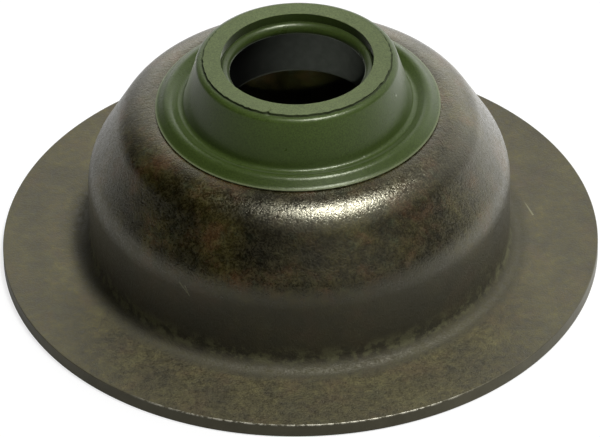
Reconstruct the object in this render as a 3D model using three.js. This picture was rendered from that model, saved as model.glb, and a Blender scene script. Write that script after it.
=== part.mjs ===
import * as THREE from "three";

// Valve stem seal: a pressed steel case, its flange the spring seat, with a rubber seal bonded to its top.
// Millimetres, +Z up along the valve stem, origin at the centre of the flange's underside.
// Every radius and height below is measured to the outside of the sheet unless its comment says otherwise.

// Steel case
const sheet = 1; // thickness of the sheet, the same all over but for the collar
const flangeRadius = 20; // the valve spring stands on the flange
const wallRadius = 14.1; // the straight wall, which the spring clears
const shoulderHeight = 7; // where the wall would meet the leaning shoulder in a sharp corner
const deckHeight = 12; // the flat deck that carries the rubber
const deckOverhang = 1.78; // from the rubber's edge out to the deck's sharp corner
const collarBore = 4.95; // inside radius of the collar that is turned up round the stem
const collarHeight = 2.38; // from the deck to the collar's end
const collarWall = 0.6; // turning the collar up stretched the sheet to this
const footBend = 0.9;
const shoulderBend = 4;
const deckBend = 3;
const collarBend = 0.35;
const punchBend = 0.5; // where the punch entered, at the foot of the collar's bore
const cutEdge = 0.12; // rounding of the edges that the press blanked

// Rubber seal
const bondFilm = 0.05; // the bonding agent between rubber and steel
const neckFootWall = 2.06; // rubber outside the collar, where the neck would meet the gutter's outer slope
const neckFootHeight = 0.21; // of that corner above the deck
const gutterBend = 0.3; // the hollow between the neck and the base ring
const ringCrestOut = 1.02; // from the neck's foot out to where the base ring's two slopes would meet
const ringCrestHeight = 0.82; // of that corner above the deck
const ringCrestRound = 0.5;
const flareOut = 0.64; // from there out to the skirt's flare
const flareHeight = 0.16; // of the flare above the deck
const flareBend = 1;
const flashOut = 0.15; // from the flare out to the rubber's edge
const flashThickness = 0.07; // the thin edge where the mould closed on the steel
const lipReach = 0.47; // how far the sealing lip stands in from the collar's bore
const lipRound = 0.43; // radius of the lip's nose, half its thickness
const lipBack = 0.54; // from the lip's nose out to the groove behind it
const grooveDepth = 0.35; // the groove lets the lip give
const grooveBend = 0.06;
const mouthDepth = 0.57; // from the trimmed top down to the lip
const mouthRelief = 0.1; // the mouth is wider than the collar's bore by this
const mouthUndercut = 0.15; // and widens again down to the groove
const trimWidth = 1.17; // the flat ring that trimming left round the mouth
const trimStep = 0.13; // height of the cut edge round that ring
const neckShoulder = 0.42; // from the cut edge out to the neck's top corner
const neckShoulderRound = 0.5;

// Fineness of the model
const facets = 60; // flat faces round each surface
const chordError = 0.02; // how far a curved stretch of a section may lie inside its arc

// Places that follow from the sizes
const collarRadius = collarBore + collarWall;
const collarTop = deckHeight + collarHeight;
const bondRadius = collarRadius + bondFilm;
const bondHeight = deckHeight + bondFilm;
const lipBottom = collarTop + bondFilm;
const lipTop = lipBottom + 2 * lipRound;
const sealTop = lipTop + mouthDepth;
const lipBore = collarBore - lipReach;
const lipBackRadius = lipBore + lipBack;
const grooveBottom = lipTop - grooveDepth;
const mouthRadius = collarBore + mouthRelief;
const trimRadius = mouthRadius + trimWidth;
const neckFootRadius = bondRadius + neckFootWall;
const ringCrestRadius = neckFootRadius + ringCrestOut;
const flareRadius = ringCrestRadius + flareOut;
const baseRadius = flareRadius + flashOut;
const deckCornerRadius = baseRadius + deckOverhang;

// A corner of a section: its radius and height, and the radius of the bend that rounds it.
function corner(radius, height, bend = 0) {
  return { at: new THREE.Vector2(radius, height), bend };
}

function direction(from, to) {
  return to.at.clone().sub(from.at).normalize();
}

function leftOf(heading) {
  return new THREE.Vector2(-heading.y, heading.x);
}

// The same open path moved to its left by a distance, so that sheet of one thickness lies between them.
function besidePath(path, distance) {
  const headings = path.slice(1).map((next, i) => direction(path[i], next));
  return path.map((here, i) => {
    const arriving = headings[i - 1] ?? headings[0];
    const leaving = headings[i] ?? headings.at(-1);
    const sideways = leftOf(arriving).add(leftOf(leaving));
    const mitre = (2 * distance) / sideways.lengthSq();
    const at = here.at.clone().addScaledVector(sideways, mitre);
    const turn = Math.sign(arriving.cross(leaving));
    return { at, bend: here.bend - turn * distance };
  });
}

// The points of one corner's bend, or the corner itself where it is sharp.
function bendPoints(here, arriving, turn, bend) {
  if (bend === 0) return [here.at];
  const start = here.at.clone().addScaledVector(arriving, -bend * Math.tan(Math.abs(turn) / 2));
  const centre = start.clone().addScaledVector(leftOf(arriving), Math.sign(turn) * bend);
  const widestStep = 2 * Math.acos(1 - Math.min(chordError / bend, 0.5));
  const steps = Math.ceil(Math.abs(turn) / widestStep);
  return Array.from({ length: steps + 1 }, (_, i) => {
    return start.clone().rotateAround(centre, (turn * i) / steps);
  });
}

// The outline of a closed section. Two bends that would overlap on the side between them shrink to fit.
function bentOutline(corners) {
  const after = corners.map((_, i) => corners[(i + 1) % corners.length]);
  const headings = corners.map((here, i) => direction(here, after[i]));
  const turns = headings.map((leaving, i) => {
    const arriving = headings.at(i - 1);
    return Math.atan2(arriving.cross(leaving), arriving.dot(leaving));
  });
  const reaches = corners.map((here, i) => here.bend * Math.tan(Math.abs(turns[i]) / 2));
  const fits = corners.map((here, i) => {
    const needed = reaches[i] + reaches[(i + 1) % corners.length];
    return Math.min(1, here.at.distanceTo(after[i].at) / needed);
  });
  return corners.flatMap((here, i) => {
    return bendPoints(here, headings.at(i - 1), turns[i], here.bend * Math.min(fits.at(i - 1), fits[i]));
  });
}

// A solid of revolution about Z. Its section's corners run anticlockwise, up the outside.
function revolved(name, corners, material) {
  const outline = bentOutline(corners);
  outline.push(outline[0]);
  const geometry = new THREE.LatheGeometry(outline, facets).rotateX(Math.PI / 2);
  const mesh = new THREE.Mesh(geometry, material);
  mesh.name = name;
  return mesh;
}

// The case is one drawn sheet: its outer skin from the rim to the collar's end, and its inner skin beside it.
function steelCase() {
  const outerSkin = [
    corner(flangeRadius, sheet, cutEdge),
    corner(wallRadius, sheet, footBend),
    corner(wallRadius, shoulderHeight, shoulderBend),
    corner(deckCornerRadius, deckHeight, deckBend),
    corner(collarRadius, deckHeight, collarBend),
  ];
  const innerSkin = besidePath(outerSkin, sheet).slice(0, -1);
  innerSkin[0].bend = cutEdge;
  outerSkin.push(corner(collarRadius, collarTop, cutEdge));
  innerSkin.push(corner(collarBore, deckHeight - sheet, punchBend), corner(collarBore, collarTop, cutEdge));
  const phosphate = new THREE.MeshStandardMaterial({ color: 0x57523f, roughness: 0.55, metalness: 0.7 });
  return revolved("steel_case", [...outerSkin, ...innerSkin.reverse()], phosphate);
}

// The seal stands on the deck and folds over the collar's end, where it forms the lip.
function rubberSeal() {
  const outside = [
    corner(baseRadius, bondHeight),
    corner(baseRadius, bondHeight + flashThickness),
    corner(flareRadius, deckHeight + flareHeight, flareBend),
    corner(ringCrestRadius, deckHeight + ringCrestHeight, ringCrestRound),
    corner(neckFootRadius, deckHeight + neckFootHeight, gutterBend),
    corner(trimRadius + neckShoulder, sealTop - trimStep, neckShoulderRound),
    corner(trimRadius, sealTop - trimStep),
    corner(trimRadius, sealTop),
  ];
  const mouth = [
    corner(mouthRadius, sealTop),
    corner(mouthRadius + mouthUndercut, grooveBottom, grooveBend),
    corner(lipBackRadius, grooveBottom, grooveBend),
    corner(lipBackRadius, lipTop, lipBack - lipRound),
    corner(lipBore, lipTop, lipRound),
    corner(lipBore, lipBottom, lipRound),
  ];
  const bondedFaces = [
    corner(bondRadius, lipBottom),
    corner(bondRadius, bondHeight, collarBend - bondFilm),
  ];
  const greenRubber = new THREE.MeshStandardMaterial({ color: 0x56663f, roughness: 0.5, metalness: 0 });
  return revolved("rubber_seal", [...outside, ...mouth, ...bondedFaces], greenRubber);
}

const valveStemSeal = new THREE.Group();
valveStemSeal.add(steelCase(), rubberSeal());

export default valveStemSeal;
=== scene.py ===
import math

import bpy
import numpy as np
from mathutils import Matrix, Vector


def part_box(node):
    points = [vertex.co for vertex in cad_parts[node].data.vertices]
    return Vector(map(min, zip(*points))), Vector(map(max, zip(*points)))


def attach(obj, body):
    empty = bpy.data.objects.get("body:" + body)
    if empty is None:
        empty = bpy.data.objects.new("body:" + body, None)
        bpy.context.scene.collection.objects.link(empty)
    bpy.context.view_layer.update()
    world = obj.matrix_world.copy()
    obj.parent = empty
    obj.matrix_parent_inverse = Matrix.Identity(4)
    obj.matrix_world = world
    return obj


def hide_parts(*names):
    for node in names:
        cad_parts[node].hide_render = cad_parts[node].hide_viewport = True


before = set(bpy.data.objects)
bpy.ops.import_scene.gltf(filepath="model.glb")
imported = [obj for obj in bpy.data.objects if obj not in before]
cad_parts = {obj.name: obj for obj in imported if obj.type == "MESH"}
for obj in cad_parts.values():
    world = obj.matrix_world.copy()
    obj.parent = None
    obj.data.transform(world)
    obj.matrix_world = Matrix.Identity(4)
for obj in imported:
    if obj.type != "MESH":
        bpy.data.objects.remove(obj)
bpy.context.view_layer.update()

MM = 0.001  # the sizes below are in millimetres, and Blender's are in metres

# Sizes of the steel case's section, as the solids have them
FLANGE_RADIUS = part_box("steel_case")[1].x / MM
SHEET = 1.0
WALL_RADIUS = 14.1
SHOULDER_HEIGHT = 7.0
DECK_HEIGHT = 12.0
DECK_OVERHANG = 1.78
COLLAR_BORE = 4.95
COLLAR_HEIGHT = 2.38
COLLAR_WALL = 0.6
FOOT_BEND = 0.9
SHOULDER_BEND = 4.0
DECK_BEND = 3.0
COLLAR_BEND = 0.35
PUNCH_BEND = 0.5
CUT_EDGE = 0.12

# Sizes of the rubber seal's section, as the solids have them
SEAL_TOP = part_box("rubber_seal")[1].z / MM
BOND_FILM = 0.05
NECK_FOOT_WALL = 2.06
NECK_FOOT_HEIGHT = 0.21
GUTTER_BEND = 0.3
RING_CREST_OUT = 1.02
RING_CREST_HEIGHT = 0.82
RING_CREST_ROUND = 0.5
FLARE_OUT = 0.64
FLARE_HEIGHT = 0.16
FLARE_BEND = 1.0
FLASH_OUT = 0.15
FLASH_THICKNESS = 0.07
LIP_REACH = 0.47
LIP_ROUND = 0.43
LIP_BACK = 0.54
GROOVE_DEPTH = 0.35
GROOVE_BEND = 0.06
MOUTH_RELIEF = 0.1
MOUTH_UNDERCUT = 0.15
TRIM_WIDTH = 1.17
TRIM_STEP = 0.13
NECK_SHOULDER = 0.42
NECK_SHOULDER_ROUND = 0.5

# Finer detail than the solids have
SHARP_EDGE = 0.02  # the rounding of a corner that looks sharp
RIM_TOP_EDGE = 0.06
RIM_BOTTOM_EDGE = 0.12
FLASH_EDGE = 0.05
MOUTH_EDGE = 0.03
CLEFT_WIDTH = 0.1  # a ragged cleft runs along the cut edge of the seal's top
CLEFT_DEPTH = 0.08
CLEFT_OUTER_EDGE = 0.03
CLEFT_TOP_EDGE = 0.015
CUT_SEED = 5
CUT_WAVES = (8, 90)  # the fewest and the most waves round the part in the cut edge
CUT_WANDER = 0.03  # how far the cut edge wanders
CUT_REACH = 0.12  # how far from the cut edge its wandering dies out
CUT_ZONE = 0.3  # how far below the top it can move the mesh
NICK_AZIMUTH = 251.0  # degrees, where the knife came out and tore a nick
NICK_SPREAD = 0.9  # degrees
NICK_DEPTH = 0.3
NICK_SINK = 0.4  # how far the nick goes down, as a share of its depth

# Places that follow from the sizes
COLLAR_RADIUS = COLLAR_BORE + COLLAR_WALL
COLLAR_TOP = DECK_HEIGHT + COLLAR_HEIGHT
COLLAR_FOOT = DECK_HEIGHT - SHEET
BOND_RADIUS = COLLAR_RADIUS + BOND_FILM
BOND_HEIGHT = DECK_HEIGHT + BOND_FILM
LIP_BOTTOM = COLLAR_TOP + BOND_FILM
LIP_TOP = LIP_BOTTOM + 2 * LIP_ROUND
LIP_BORE = COLLAR_BORE - LIP_REACH
LIP_BACK_RADIUS = LIP_BORE + LIP_BACK
GROOVE_BOTTOM = LIP_TOP - GROOVE_DEPTH
MOUTH_RADIUS = COLLAR_BORE + MOUTH_RELIEF
TRIM_RADIUS = MOUTH_RADIUS + TRIM_WIDTH
CUT_FOOT = SEAL_TOP - TRIM_STEP
NECK_FOOT_RADIUS = BOND_RADIUS + NECK_FOOT_WALL
RING_CREST_RADIUS = NECK_FOOT_RADIUS + RING_CREST_OUT
FLARE_RADIUS = RING_CREST_RADIUS + FLARE_OUT
BASE_RADIUS = FLARE_RADIUS + FLASH_OUT
DECK_CORNER_RADIUS = BASE_RADIUS + DECK_OVERHANG

# Fineness of the meshes
SEGMENTS = 400
CHORD_ERROR = 0.0012  # how far a bend's flat faces may lie inside its arc
COARSEST_CHORD = 0.2  # the most that this may be, as a share of the bend's radius
LONGEST_STEP = 0.75  # between the points of a straight side
SUPPORT_STEP = 0.035  # from each end of a straight side to its next point
BEND_SHARE = 0.99  # how much of the side between two corners their bends may fill


# Sections

class Corner:
    """A corner of a section: its radius, its height and the radius of the bend that rounds it.

    skin names the material of the bend and of the side that leads up to it.
    """

    def __init__(self, radius, height, bend=SHARP_EDGE, skin=None):
        self.at = np.array([radius, height], float)
        self.bend = bend
        self.skin = skin


def heading(a, b):
    step = b.at - a.at
    return step / np.linalg.norm(step)


def left_of(v):
    return np.array([-v[1], v[0]])


def cross(a, b):
    return a[0] * b[1] - a[1] * b[0]


def beside(path, distance):
    """The same open path moved to its left."""
    headings = [heading(a, b) for a, b in zip(path, path[1:])]
    moved = []
    for i, here in enumerate(path):
        arriving = headings[max(i - 1, 0)]
        leaving = headings[min(i, len(headings) - 1)]
        sideways = left_of(arriving) + left_of(leaving)
        at = here.at + sideways * (2 * distance / (sideways @ sideways))
        turn = np.sign(round(cross(arriving, leaving), 9))
        moved.append(Corner(*at, here.bend - turn * distance, here.skin))
    return moved


def bend_points(here, arriving, turn, bend):
    """The points of one bend."""
    start = here.at - arriving * bend * math.tan(abs(turn) / 2)
    centre = start + left_of(arriving) * math.copysign(bend, turn)
    widest = 2 * math.acos(1 - min(CHORD_ERROR / bend, COARSEST_CHORD))
    steps = max(2, math.ceil(abs(turn) / widest))
    arm = start - centre
    points = []
    for i in range(steps + 1):
        c, s = math.cos(turn * i / steps), math.sin(turn * i / steps)
        points.append(centre + np.array([arm[0] * c - arm[1] * s, arm[0] * s + arm[1] * c]))
    return points


def straight_points(a, b):
    """Points between two places, close together at both ends, so that a flat face shades flat."""
    length = np.linalg.norm(b - a)
    if length < 3 * SUPPORT_STEP:
        return []
    inner = length - 2 * SUPPORT_STEP
    count = max(1, math.ceil(inner / LONGEST_STEP))
    places = [SUPPORT_STEP + inner * i / count for i in range(count + 1)]
    return [a + (b - a) * p / length for p in places]


def bent_outline(corners):
    """A closed section as points, and the skin of each step from one point to the next.

    Two bends that would overlap on the side between them shrink to fit.
    """
    count = len(corners)
    after = [(i + 1) % count for i in range(count)]
    headings = [heading(corners[i], corners[after[i]]) for i in range(count)]
    turns = [
        math.atan2(cross(headings[i - 1], headings[i]), headings[i - 1] @ headings[i])
        for i in range(count)
    ]
    reaches = [c.bend * math.tan(abs(turn) / 2) for c, turn in zip(corners, turns)]
    fits = []
    for i in range(count):
        side = np.linalg.norm(corners[after[i]].at - corners[i].at)
        fits.append(min(1, BEND_SHARE * side / (reaches[i] + reaches[after[i]])))
    bends = []
    for i, here in enumerate(corners):
        bend = here.bend * min(fits[i - 1], fits[i])
        bends.append(bend_points(here, headings[i - 1], turns[i], bend))
    points, skins = [], []
    for i, bend in enumerate(bends):
        straight = straight_points(bend[-1], bends[after[i]][0])
        points += bend + straight
        skins += [corners[i].skin] * (len(bend) - 1)
        skins += [corners[after[i]].skin] * (1 + len(straight))
    return np.array(points), skins


# Meshes

def wander(angles, rng, fewest, most, size):
    """A smooth closed random line round the part, made of waves that fit the circle."""
    waves = range(fewest, most + 1)
    total = np.zeros_like(angles)
    for k in waves:
        total += rng.normal() * np.cos(k * angles + rng.uniform(0, 2 * math.pi))
    return total * size / math.sqrt(len(waves))


def revolve(name, corners, skins_in_order, shape=None):
    """A closed solid of revolution, with a material slot for each skin.

    shape(angles, radii, heights) may move its points, in millimetres.
    """
    points, skins = bent_outline(corners)
    angles = np.linspace(0, 2 * math.pi, SEGMENTS, endpoint=False)[:, None]
    radii = np.repeat(points[None, :, 0], SEGMENTS, axis=0)
    heights = np.repeat(points[None, :, 1], SEGMENTS, axis=0)
    if shape:
        radii, heights = shape(angles, radii, heights)
    xyz = np.stack([radii * np.cos(angles), radii * np.sin(angles), heights], -1)
    n = len(points)
    column, row = np.meshgrid(np.arange(SEGMENTS), np.arange(n), indexing="ij")
    here, beyond = column * n, (column + 1) % SEGMENTS * n
    next_row = (row + 1) % n
    quads = np.stack([here + row, beyond + row, beyond + next_row, here + next_row], -1)
    skin_numbers = [skins_in_order.index(s) for s in skins]
    mesh = bpy.data.meshes.new(name)
    mesh.vertices.add(SEGMENTS * n)
    mesh.vertices.foreach_set("co", (xyz * MM).ravel())
    mesh.loops.add(quads.size)
    mesh.loops.foreach_set("vertex_index", quads.ravel())
    mesh.polygons.add(SEGMENTS * n)
    mesh.polygons.foreach_set("loop_start", np.arange(0, quads.size, 4))
    mesh.polygons.foreach_set("material_index", np.tile(skin_numbers, SEGMENTS))
    mesh.polygons.foreach_set("use_smooth", np.ones(SEGMENTS * n, bool))
    mesh.update(calc_edges=True)
    mesh.validate()
    piece = bpy.data.objects.new(name, mesh)
    bpy.context.scene.collection.objects.link(piece)
    return piece


# Material nodes

class Nodes:
    """Short calls that add nodes to a material or a world."""

    def __init__(self, owner):
        owner.use_nodes = True
        self.owner = owner
        self.tree = owner.node_tree
        self.shader = self.tree.nodes.get("Principled BSDF")

    def feed(self, socket, value):
        """Links a socket to another one, or sets it to a value."""
        if isinstance(value, bpy.types.NodeSocket):
            self.tree.links.new(value, socket)
        else:
            socket.default_value = value

    def add(self, kind, inputs=None, **settings):
        node = self.tree.nodes.new(kind)
        for key, value in settings.items():
            setattr(node, key, value)
        for key, value in (inputs or {}).items():
            self.feed(node.inputs[key], value)
        return node

    def math(self, operation, a, b=0.0, clamp=False):
        node = self.add("ShaderNodeMath", {0: a, 1: b}, operation=operation, use_clamp=clamp)
        return node.outputs[0]

    def vector(self, operation, a, b=(0, 0, 0)):
        """Vector maths that gives a vector."""
        node = self.add("ShaderNodeVectorMath", {0: a, 1: b}, operation=operation)
        return node.outputs["Vector"]

    def measure(self, operation, a, b=(0, 0, 0)):
        """Vector maths that gives a number."""
        node = self.add("ShaderNodeVectorMath", {0: a, 1: b}, operation=operation)
        return node.outputs["Value"]

    def place_mm(self):
        """The point in the row frame, in millimetres."""
        place = self.add("ShaderNodeTexCoord").outputs["Object"]
        return self.vector("MULTIPLY", place, (1 / MM,) * 3)

    def part(self, vector, axis):
        """One coordinate of a vector."""
        return self.add("ShaderNodeSeparateXYZ", {0: vector}).outputs[axis]

    def off_axis(self, place):
        """The place at height 0."""
        return self.vector("MULTIPLY", place, (1, 1, 0))

    def noise(self, vector, size, detail=3.0, roughness=0.55):
        """Noise whose patches are about that many millimetres across."""
        inputs = {"Vector": vector, "Scale": 1 / size, "Detail": detail, "Roughness": roughness}
        return self.add("ShaderNodeTexNoise", inputs).outputs["Fac"]

    def ramp(self, value, stops):
        """Colours along a value: stops are (place, grey or colour)."""
        node = self.add("ShaderNodeValToRGB", {"Fac": value})
        elements = node.color_ramp.elements
        while len(elements) < len(stops):
            elements.new(0.5)
        for element, (place, colour) in zip(elements, stops):
            element.position = place
            if isinstance(colour, (int, float)):
                colour = (colour,) * 3
            element.color = (*colour, 1)
        return node.outputs["Color"]

    def mix(self, share, a, b, blend="MIX"):
        node = self.add("ShaderNodeMix", data_type="RGBA", blend_type=blend)
        sockets = {s.identifier: s for s in node.inputs}
        for key, value in (("Factor_Float", share), ("A_Color", a), ("B_Color", b)):
            self.feed(sockets[key], (*value, 1) if isinstance(value, tuple) else value)
        return next(s for s in node.outputs if s.identifier == "Result_Color")

    def between(self, value, start, end, low, high):
        """A number that goes smoothly from low to high as the value goes from start to end."""
        limits = {"Value": value, "From Min": start, "From Max": end, "To Min": low, "To Max": high}
        return self.add("ShaderNodeMapRange", limits, interpolation_type="SMOOTHSTEP").outputs[0]

    def bump(self, height, depth_mm, strength, normal=None):
        inputs = {"Height": height, "Distance": depth_mm * MM, "Strength": strength}
        if normal is not None:
            inputs["Normal"] = normal
        return self.add("ShaderNodeBump", inputs).outputs["Normal"]

    def set(self, **values):
        """Sets or links the shader's own sockets, named with _ for spaces."""
        for key, value in values.items():
            self.feed(self.shader.inputs[key.replace("_", " ")], value)


def material_nodes(name):
    return Nodes(bpy.data.materials.new(name))


def srgb(red, green, blue):
    """A colour given as 0 to 255 values, as the linear numbers that a shader takes."""
    return tuple(
        c / 12.92 if c <= 0.04045 else ((c + 0.055) / 1.055) ** 2.4
        for c in (red / 255, green / 255, blue / 255)
    )


def near_line(n, place, start, end, width):
    """1 on a thin line between two points, such as a scratch, and 0 away from it."""
    start, end = Vector(start), Vector(end)
    along = end - start
    offset = n.vector("SUBTRACT", place, start)
    share = n.measure("DOT_PRODUCT", offset, along / along.length_squared)
    share = n.math("ADD", share, 0.0, clamp=True)  # the line stops at its ends
    foot = n.vector("MULTIPLY", along, share)
    return n.between(n.measure("DISTANCE", offset, foot), width / 4, width / 2, 1.0, 0.0)


def round_the_axis(n, place, radius, squeeze):
    """The place moved to a cylinder about the axis, its height squeezed.

    Noise there becomes streaks up the wall.
    """
    around = n.vector("NORMALIZE", n.off_axis(place))
    rise = n.vector("MULTIPLY", place, (0, 0, squeeze))
    return n.vector("ADD", n.vector("MULTIPLY", around, (radius,) * 3), rise)


# Materials of the steel case

WALL_TONE = (0.66, 0.66, 0.64)  # of the outside, next to the flange's colour
INNER_PAINTED_LIGHT_TONE = (1.5, 1.8, 2.2)  # of the inside: paler and greyer, as painted light on the inner wall
LOW_WALL_TONE = (0.38, 0.38, 0.36)
FOOT_RING_TONE = (1.22, 1.22, 1.2)
# The next tone is painted shade in the corner of the foot's bend
FOOT_SHADE_TONE = (0.45, 0.46, 0.42)
PHOSPHATE = (
    (0.38, srgb(30, 25, 8)),
    (0.47, srgb(50, 44, 17)),
    (0.54, srgb(64, 58, 24)),
    (0.66, srgb(87, 81, 41)),
)
RUSTY = srgb(80, 52, 33)
OLIVE = srgb(70, 78, 56)
DUST = srgb(98, 98, 66)
SCRATCHED = srgb(150, 150, 118)
SHADE_BLACK = (0.0, 0.0, 0.0)

# Heights between which the case's look changes
DOME_FROM = (1.2, 2.6)
VIVID_FROM = (1.2, 5.0)
LOW_WALL_TO = (5.0, 8.0)
DULL_TO = (2.5, 9.0)
RING_TO = (1.2, 2.4)
CORNER_TO = (1.9, 2.6)
DUST_FROM = (1.25, 1.7)
DUST_TO = (1.9, 3.0)

# Distances from the frame's origin between which it changes
RING_BEGINS = (15.0, 15.9)
RING_ENDS = (16.4, 18.2)
CORNER_ENDS = (14.8, 15.7)

# The collar's bore: painted shade fades from left to right, and a band of painted light lies above
# the bore's foot
SHADE_FADE = (-4.2, 4.4)
LIT_BAND = (0.2, 0.45)

# The burred top edge of the rim, painted bright as a highlight: it grows towards the front of the
# rim, and fades this far below the rim's top
BURR_GLINT_FRONT = (-16.0, -18.5)
BURR_GLINT_BAND = (0.12, 0.06)

# Scratches: both ends and the width
SCRATCHES = (
    ((14.93, 4.14, 1.1), (15.72, 1.93, 1.0), 0.16),
    ((-7.95, -11.62, 6.4), (-7.47, -11.96, 5.8), 0.12),
    ((-7.6, -11.85, 6.3), (-7.35, -12.05, 5.6), 0.1),
)


def mottled_phosphate(n, place, height, specks, grain):
    """Brown, with rusty and olive patches that are fainter on the flange, and a fine grain."""
    patches = n.noise(place, size=3.2, detail=6.0, roughness=0.68)
    base = n.ramp(n.math("MULTIPLY", n.math("ADD", patches, specks), 0.5), PHOSPHATE)
    vivid = n.between(height, *VIVID_FROM, 0.35, 1.0)
    red = n.noise(place, size=2.3, detail=5.0, roughness=0.65)
    red = n.ramp(red, [(0.5, 0.0), (0.64, 0.6)])
    base = n.mix(n.math("MULTIPLY", red, vivid), base, RUSTY)
    green = n.noise(place, size=1.3, detail=6.0, roughness=0.75)
    green = n.ramp(green, [(0.54, 0.0), (0.66, 0.55)])
    base = n.mix(n.math("MULTIPLY", green, vivid), base, OLIVE)
    grainy = n.ramp(grain, [(0.3, 0.35), (0.5, 1.0), (0.7, 1.7)])
    return n.mix(0.6, base, grainy, "MULTIPLY")


def tone_the_dome(n, place, height, base, wall_tone):
    """The wall and the shoulder take wall_tone in blotches, and the low wall is darker."""
    dome = n.between(height, *DOME_FROM, 0.0, 1.0)
    base = n.mix(dome, base, wall_tone, "MULTIPLY")
    low_wall = n.math("MULTIPLY", dome, n.between(height, *LOW_WALL_TO, 1.0, 0.0))
    base = n.mix(low_wall, base, LOW_WALL_TONE, "MULTIPLY")
    blotches = n.noise(place, size=4.5, detail=5.0, roughness=0.6)
    blotches = n.ramp(blotches, [(0.4, 0.4), (0.6, 1.5)])
    return n.mix(dome, base, blotches, "MULTIPLY")


def mark_the_foot(n, place, height, distance, corner, base):
    """A paler ring on the flange round the foot, painted shade in the bend's corner, and dust above
    it.
    """
    ring = n.math(
        "MULTIPLY",
        n.between(distance, *RING_BEGINS, 0.0, 1.0),
        n.between(distance, *RING_ENDS, 1.0, 0.0),
    )
    ring = n.math("MULTIPLY", ring, n.between(height, *RING_TO, 1.0, 0.0))
    base = n.mix(ring, base, FOOT_RING_TONE, "MULTIPLY")
    # Painted shade in the corner of the foot's bend
    base = n.mix(corner, base, FOOT_SHADE_TONE, "MULTIPLY")
    dusty = n.noise(place, size=0.9, detail=5.0, roughness=0.7)
    above = n.between(height, *DUST_FROM, 0.0, 1.0)
    below = n.between(height, *DUST_TO, 1.0, 0.0)
    band = n.math("MULTIPLY", above, below)
    dust = n.math("MULTIPLY", band, n.between(dusty, 0.44, 0.58, 0.0, 0.75))
    return n.mix(dust, base, DUST)


def phosphated_steel(name, wall_tone):
    """Oiled phosphate on drawn steel, shinier up the dome."""
    n = material_nodes(name)
    place = n.place_mm()
    height = n.part(place, "Z")
    distance = n.measure("LENGTH", place)
    specks = n.noise(place, size=0.55, detail=4.0, roughness=0.75)
    grain = n.noise(place, size=0.13, detail=2.0, roughness=0.7)
    streaks = n.noise(round_the_axis(n, place, WALL_RADIUS, 0.08), size=0.2)
    # The corner of the foot's bend, which gets painted shade and more roughness
    corner = n.math(
        "MULTIPLY",
        n.between(height, *CORNER_TO, 1.0, 0.0),
        n.between(distance, *CORNER_ENDS, 1.0, 0.0),
    )
    base = mottled_phosphate(n, place, height, specks, grain)
    base = tone_the_dome(n, place, height, base, wall_tone)
    base = mark_the_foot(n, place, height, distance, corner, base)
    for start, end, width in SCRATCHES:
        mark = n.math("MULTIPLY", near_line(n, place, start, end, width), 0.5)
        base = n.mix(mark, base, SCRATCHED)
    n.set(Base_Color=base, IOR=1.95, Specular_Tint=(1.0, 0.96, 0.74, 1.0))
    dull = n.between(height, *DULL_TO, 0.34, 0.0)
    dull = n.math("ADD", dull, n.between(grain, 0.35, 0.65, -0.05, 0.12))
    dull = n.math("ADD", dull, n.math("MULTIPLY", corner, 0.15))
    n.set(Roughness=n.math("ADD", n.ramp(specks, [(0.35, 0.15), (0.65, 0.29)]), dull))
    rise = n.math("ADD", n.math("MULTIPLY", grain, 0.8), n.math("MULTIPLY", streaks, 0.2))
    coarse = n.bump(specks, depth_mm=0.05, strength=0.5)
    n.set(Normal=n.bump(rise, depth_mm=0.03, strength=0.9, normal=coarse))
    return n.owner


def bare_steel():
    """The collar's bore: smooth grey steel, with marks along it.

    Painted shade makes its left side black, and painted light makes a pale band at its foot.
    """
    n = material_nodes("bare_steel")
    place = n.place_mm()
    marks = n.noise(round_the_axis(n, place, COLLAR_BORE, 0.15), size=0.12)
    patches = n.noise(place, size=0.6, detail=4.0)
    base = n.mix(patches, srgb(74, 79, 71), srgb(108, 112, 103))
    # Painted shade: black on the bore's left side
    painted_shade = n.between(n.part(place, "X"), *SHADE_FADE, 0.98, 0.0)
    base = n.mix(painted_shade, base, SHADE_BLACK)
    # Painted light: a pale band just above the bore's foot
    rise = n.math("SUBTRACT", n.part(place, "Z"), COLLAR_FOOT)
    painted_light = n.between(rise, *LIT_BAND, 0.8, 0.0)
    base = n.mix(painted_light, base, srgb(122, 126, 112))
    n.set(Base_Color=base, Roughness=0.6, Specular_IOR_Level=0.12)
    n.set(Normal=n.bump(marks, depth_mm=0.02, strength=0.4))
    return n.owner


def cut_steel():
    """The rim that the press blanked: greyer than the faces, with marks across it.

    Along the top edge of its front runs a beaded line of burred steel, painted bright as a
    highlight.
    """
    n = material_nodes("cut_steel")
    place = n.place_mm()
    marks = n.noise(round_the_axis(n, place, FLANGE_RADIUS, 0.1), size=0.25)
    base = n.mix(n.noise(place, size=2.0, detail=4.0), srgb(78, 74, 56), srgb(112, 108, 86))
    # Painted highlight along the burred top edge of the front
    front = n.between(n.part(place, "Y"), *BURR_GLINT_FRONT, 0.0, 1.0)
    top = n.between(n.math("SUBTRACT", SHEET, n.part(place, "Z")), *BURR_GLINT_BAND, 0.0, 1.0)
    beads = n.noise(place, size=0.45, detail=3.0, roughness=0.7)
    beads = n.between(beads, 0.42, 0.6, 0.0, 0.9)
    burr_and_glint = n.math("MULTIPLY", n.math("MULTIPLY", front, top), beads)
    base = n.mix(burr_and_glint, base, srgb(214, 210, 190))
    n.set(Base_Color=base, Metallic=0.3, Roughness=0.42)
    n.set(Normal=n.bump(marks, depth_mm=0.03, strength=0.5))
    return n.owner


# Materials of the rubber seal

RUBBER_GRAIN = ((0.3, 0.5), (0.7, 1.5))
MOUTH_SHADE_OUT = 0.25  # how far out from the mouth's edge its painted shade fades
EDGE_GLINT_BAND = (0.14, 0.05)  # how far in from the seal's edge the paler band begins, which is partly a painted highlight
DUST_SPECKS = ((4.25, -6.3, 12.4), (-8.55, 1.4, 12.78), (-0.4, -8.6, 12.78), (6.5, -2.6, 14.6))
SPECK_EDGE = (0.05, 0.09)  # the radii between which a speck fades


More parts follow.
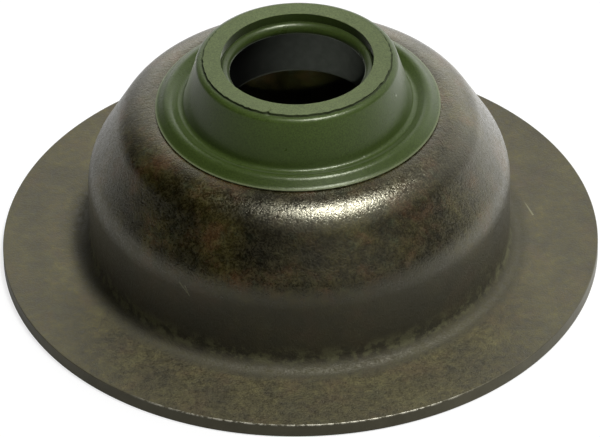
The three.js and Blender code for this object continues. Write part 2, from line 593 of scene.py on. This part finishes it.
def green_rubber():
    """Moulded green rubber: semi-gloss, cloudy, with a fine grain and a few specks of dust.

    Shade is painted in the mouth, and its thin outer edge is paler, partly as a painted highlight.
    """
    n = material_nodes("green_rubber")
    place = n.place_mm()
    cloud = n.noise(place, size=2.4, detail=4.0)
    grain = n.noise(place, size=0.1, detail=2.0)
    base = n.mix(cloud, srgb(58, 74, 30), srgb(70, 86, 39))
    base = n.mix(0.6, base, n.ramp(grain, RUBBER_GRAIN), "MULTIPLY")
    radius = n.measure("LENGTH", n.off_axis(place))
    # Painted shade in the mouth
    out = n.math("SUBTRACT", radius, MOUTH_RADIUS)
    mouth = n.between(out, MOUTH_UNDERCUT, MOUTH_SHADE_OUT, 0.45, 0.0)
    base = n.mix(mouth, base, srgb(24, 32, 10))
    # A paler thin edge: pale rubber, and partly a painted highlight
    flash_and_glint = n.between(n.math("SUBTRACT", BASE_RADIUS, radius), *EDGE_GLINT_BAND, 0.0, 0.4)
    base = n.mix(flash_and_glint, base, srgb(150, 156, 122))
    for speck in DUST_SPECKS:
        dust = n.between(n.measure("DISTANCE", place, speck), *SPECK_EDGE, 0.8, 0.0)
        base = n.mix(dust, base, srgb(190, 196, 176))
    n.set(Base_Color=base, IOR=1.5, Specular_Tint=(0.95, 1.0, 0.8, 1.0))
    n.set(Sheen_Weight=0.3, Sheen_Roughness=0.3, Sheen_Tint=(0.95, 1.0, 0.85, 1.0))
    n.set(Roughness=n.ramp(cloud, [(0.3, 0.26), (0.7, 0.34)]))
    n.set(Normal=n.bump(grain, depth_mm=0.03, strength=0.5))
    return n.owner


def trimmed_rubber():
    """The flat top where the mould's waste was cut off: matte and paler."""
    n = material_nodes("trimmed_rubber")
    place = n.place_mm()
    cloud = n.noise(place, size=1.6, detail=5.0)
    grain = n.noise(place, size=0.1, detail=3.0, roughness=0.7)
    base = n.mix(cloud, srgb(84, 97, 56), srgb(98, 110, 68))
    base = n.mix(0.7, base, n.ramp(grain, RUBBER_GRAIN), "MULTIPLY")
    n.set(Base_Color=base, Roughness=0.75)
    n.set(Normal=n.bump(grain, depth_mm=0.03, strength=0.6))
    return n.owner


def torn_rubber():
    """The ragged cleft along the cut: its dark colour is painted shade."""
    n = material_nodes("torn_rubber")
    cloud = n.noise(n.place_mm(), size=0.5, detail=4.0)
    n.set(Base_Color=n.mix(cloud, srgb(30, 38, 18), srgb(80, 92, 54)), Roughness=0.9)
    n.set(Normal=n.bump(cloud, depth_mm=0.04, strength=0.6))
    return n.owner


def dress(piece, slot, materials, *nodes):
    for m in materials:
        piece.data.materials.append(m)
    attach(piece, "root")
    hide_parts(*nodes)


# Pieces

def steel_case():
    """One drawn sheet: its outer skin from the rim to the collar's end, and its inner skin."""
    outer = [
        Corner(FLANGE_RADIUS, SHEET, RIM_TOP_EDGE, "cut"),
        Corner(WALL_RADIUS, SHEET, FOOT_BEND, "face"),
        Corner(WALL_RADIUS, SHOULDER_HEIGHT, SHOULDER_BEND, "face"),
        Corner(DECK_CORNER_RADIUS, DECK_HEIGHT, DECK_BEND, "face"),
        Corner(COLLAR_RADIUS, DECK_HEIGHT, COLLAR_BEND, "face"),
    ]
    inner = beside(outer, SHEET)[:-1]
    inner[0].bend = RIM_BOTTOM_EDGE
    for c in inner:
        c.skin = "inside"
    outer.append(Corner(COLLAR_RADIUS, COLLAR_TOP, CUT_EDGE, "face"))
    inner.append(Corner(COLLAR_BORE, COLLAR_FOOT, PUNCH_BEND, "bore"))
    inner.append(Corner(COLLAR_BORE, COLLAR_TOP, CUT_EDGE, "bore"))
    skins = ["face", "inside", "cut", "bore"]
    case = revolve("steel_case_finish", [*outer, *inner[::-1]], skins)
    materials = [
        phosphated_steel("phosphated_steel", WALL_TONE),
        # The inside is painted paler and greyer, as light on it
        phosphated_steel("inner_phosphate", INNER_PAINTED_LIGHT_TONE),
        cut_steel(),
        bare_steel(),
    ]
    dress(case, "phosphated_steel", materials, "steel_case")


def ragged_cut(angles, radii, heights):
    """The seal's cut edge wanders, with a torn nick where the knife came out."""
    edge = wander(angles, np.random.default_rng(CUT_SEED), *CUT_WAVES, CUT_WANDER)
    turns = (np.degrees(angles) - NICK_AZIMUTH) / NICK_SPREAD
    nick = NICK_DEPTH * np.exp(-(turns**2))
    near = np.exp(-(((radii - TRIM_RADIUS) / CUT_REACH) ** 2)) * (heights > SEAL_TOP - CUT_ZONE)
    return radii + near * (edge - nick), heights - NICK_SINK * near * nick


def rubber_seal():
    """The bonded moulding: outside, trimmed top, mouth, groove, lip and bonded faces."""
    outside = [
        Corner(BASE_RADIUS, BOND_HEIGHT),
        Corner(BASE_RADIUS, BOND_HEIGHT + FLASH_THICKNESS, FLASH_EDGE),
        Corner(FLARE_RADIUS, DECK_HEIGHT + FLARE_HEIGHT, FLARE_BEND),
        Corner(RING_CREST_RADIUS, DECK_HEIGHT + RING_CREST_HEIGHT, RING_CREST_ROUND),
        Corner(NECK_FOOT_RADIUS, DECK_HEIGHT + NECK_FOOT_HEIGHT, GUTTER_BEND),
        Corner(TRIM_RADIUS + NECK_SHOULDER, CUT_FOOT, NECK_SHOULDER_ROUND),
        Corner(TRIM_RADIUS + CLEFT_WIDTH, CUT_FOOT, CLEFT_OUTER_EDGE),
    ]
    top = [
        Corner(TRIM_RADIUS - CLEFT_WIDTH / 2, CUT_FOOT - CLEFT_DEPTH, SHARP_EDGE, "cleft"),
        Corner(TRIM_RADIUS, SEAL_TOP, CLEFT_TOP_EDGE, "cleft"),
        Corner(MOUTH_RADIUS, SEAL_TOP, MOUTH_EDGE, "trimmed"),
    ]
    mouth = [
        Corner(MOUTH_RADIUS + MOUTH_UNDERCUT, GROOVE_BOTTOM, GROOVE_BEND),
        Corner(LIP_BACK_RADIUS, GROOVE_BOTTOM, GROOVE_BEND),
        Corner(LIP_BACK_RADIUS, LIP_TOP, LIP_BACK - LIP_ROUND),
        Corner(LIP_BORE, LIP_TOP, LIP_ROUND),
        Corner(LIP_BORE, LIP_BOTTOM, LIP_ROUND),
    ]
    bonded_faces = [
        Corner(BOND_RADIUS, LIP_BOTTOM),
        Corner(BOND_RADIUS, BOND_HEIGHT, COLLAR_BEND - BOND_FILM),
    ]
    for c in (*outside, *mouth, *bonded_faces):
        c.skin = "moulded"
    corners = [*outside, *top, *mouth, *bonded_faces]
    seal = revolve("rubber_seal_finish", corners, ["moulded", "trimmed", "cleft"], ragged_cut)
    materials = [green_rubber(), trimmed_rubber(), torn_rubber()]
    dress(seal, "green_rubber", materials, "rubber_seal")


# Camera, fitted to the photograph's ellipses: degrees, and millimetres in the row frame

CAMERA_ELEVATION = 37.63
CAMERA_ROLL = -1.076
CAMERA_DISTANCE = 455.5
CAMERA_AIM = (0.0, -0.95, 3.27)
CAMERA_LENS = 408.25
CAMERA_SENSOR = 36.0


def towards(azimuth, elevation):
    """A direction, from degrees round Z from +X, and degrees up from the floor."""
    azimuth, elevation = math.radians(azimuth), math.radians(elevation)
    level = math.cos(elevation)
    return Vector((level * math.cos(azimuth), level * math.sin(azimuth), math.sin(elevation)))


def make_camera():
    camera = bpy.data.objects.new("camera", bpy.data.cameras.new("camera"))
    bpy.context.scene.collection.objects.link(camera)
    back = towards(-90, CAMERA_ELEVATION)
    camera.location = (Vector(CAMERA_AIM) + back * CAMERA_DISTANCE) * MM
    roll = Matrix.Rotation(math.radians(CAMERA_ROLL), 4, "Z")
    turned = (-back).to_track_quat("-Z", "Y").to_matrix().to_4x4() @ roll
    camera.rotation_euler = turned.to_euler()
    camera.data.lens = CAMERA_LENS
    camera.data.sensor_width = CAMERA_SENSOR
    camera.data.clip_start = 0.01
    bpy.context.scene.camera = camera


# Light and floor, in metres

KEY = towards(-36, 74.2)
INTO_THE_MOUTH = towards(-88, 34)
BEAM_DISTANCE = 0.3

# Pale screens round the part: direction and radiance
SCREENS = (
    (towards(90, 12), 1.9),
    (towards(45, 12), 1.25),
    (towards(0, 50), 0.35),
    (towards(300, 50), 0.7),
)
SCREEN_SHARPNESS = 8.0

# What the part sees of the floor round it: direction and radiance
FLOOR_GLOWS = (
    (towards(0, 0), 0.55),
    (towards(45, 0), 0.5),
    (towards(90, 0), 0.4),
    (towards(180, 0), 0.17),
    (towards(270, 0), 0.05),
)
FLOOR_SHARPNESS = 2.0
FLOOR_FADE = (60.0, 400.0)  # millimetres from the part
FLOOR_SIZE = 6.0
FLOOR_GAP = 0.02 * MM  # the floor lies this far below the part
FLOOR_GREY = (0.35, 0.35, 0.35)
# Black under the case: painted shade for the inside of the case
SHADE_UNDER_THE_CASE = (0.01, 0.01, 0.01)
FLOOR_WHITE = (0.75, 0.75, 0.75)  # with the light on the floor, this gives white


def add_lamp(name, kind, location, direction):
    """A lamp that shines against a direction."""
    lamp = bpy.data.objects.new(name, bpy.data.lights.new(name, kind))
    bpy.context.scene.collection.objects.link(lamp)
    lamp.location = location
    lamp.rotation_euler = (-direction).to_track_quat("-Z", "Y").to_euler()
    return lamp


def soft_box(name, direction, distance, size, radiance, only_mirrored=False):
    """A square lamp that faces the part. Its power gives its face that radiance."""
    box = add_lamp(name, "AREA", direction * distance, direction)
    box.data.shape = "SQUARE"
    box.data.size = size
    box.data.energy = radiance * math.pi * size * size
    box.visible_diffuse = not only_mirrored


def beam(name, direction, irradiance, width):
    """A narrow lamp that shines only into the mouth, on the case's inner wall."""
    mouth = Vector((0, 0, SEAL_TOP * MM))
    torch = add_lamp(name, "SPOT", mouth + direction * BEAM_DISTANCE, direction)
    torch.data.energy = irradiance * 4 * math.pi**2 * BEAM_DISTANCE**2
    torch.data.spot_size = 2 * math.atan(width * MM / 2 / BEAM_DISTANCE)
    torch.data.spot_blend = 0.15
    torch.data.shadow_soft_size = 0.005
    torch.visible_glossy = False


def glows(n, vector, centres, sharpness):
    """Soft patches of light, each round a direction: (direction, radiance) pairs.

    Each fades as a power of the cosine of the angle from its direction.
    """
    level = 0.0
    for centre, radiance in centres:
        cosine = n.math("MAXIMUM", n.measure("DOT_PRODUCT", vector, centre), 0.0)
        patch = n.math("MULTIPLY", n.math("POWER", cosine, sharpness), radiance)
        level = n.math("ADD", patch, level)
    return level


def make_world():
    """White for the camera. Pale screens behind the part and to its right light it."""
    n = Nodes(bpy.data.worlds.new("studio"))
    bpy.context.scene.world = n.owner
    n.tree.nodes.clear()
    place = n.add("ShaderNodeTexCoord").outputs["Generated"]
    level = glows(n, place, SCREENS, SCREEN_SHARPNESS)
    white = {"Color": (1, 1, 1, 1)}
    around = n.add("ShaderNodeBackground", {**white, "Strength": level}).outputs[0]
    backdrop = n.add("ShaderNodeBackground", white).outputs[0]
    camera_ray = n.add("ShaderNodeLightPath").outputs["Is Camera Ray"]
    both = n.add("ShaderNodeMixShader", {0: camera_ray, 1: around, 2: backdrop}).outputs[0]
    n.add("ShaderNodeOutputWorld", {"Surface": both})


def make_floor():
    """White to the camera but for the part's shadow, and painted dark under the case as shade for
    its inside.

    To the part it is brighter behind and to the right, as a lit table would be.
    """
    bpy.ops.mesh.primitive_plane_add(size=FLOOR_SIZE, location=(0, 0, -FLOOR_GAP))
    floor = bpy.context.object
    floor.name = "floor"
    n = material_nodes("floor")
    place = n.place_mm()
    away = n.measure("LENGTH", place)
    open_floor = n.math("GREATER_THAN", away, WALL_RADIUS)
    # Painted shade on the floor under the case
    n.set(Base_Color=n.mix(open_floor, SHADE_UNDER_THE_CASE, FLOOR_GREY))
    n.set(Roughness=0.9, Specular_IOR_Level=0.1)
    lit = glows(n, n.vector("NORMALIZE", place), FLOOR_GLOWS, FLOOR_SHARPNESS)
    lit = n.math("MULTIPLY", lit, n.between(away, *FLOOR_FADE, 1.0, 0.0))
    camera_ray = n.add("ShaderNodeLightPath").outputs["Is Camera Ray"]
    strength = n.math("MULTIPLY", n.mix(camera_ray, lit, FLOOR_WHITE), open_floor)
    glow = n.add("ShaderNodeEmission", {"Color": (1, 1, 1, 1), "Strength": strength})
    both = n.add("ShaderNodeAddShader", {0: n.shader.outputs[0], 1: glow.outputs[0]})
    n.feed(n.tree.nodes["Material Output"].inputs["Surface"], both.outputs[0])
    floor.data.materials.append(n.owner)


make_camera()
steel_case()
rubber_seal()
make_world()
make_floor()
soft_box("key", KEY, distance=0.6, size=0.13, radiance=38.0)
soft_box("glint", KEY, distance=0.59, size=0.1, radiance=40.0, only_mirrored=True)
beam("beam_through_bore", INTO_THE_MOUTH, irradiance=1.3, width=5.0)
bpy.context.scene.view_settings.view_transform = "Standard"
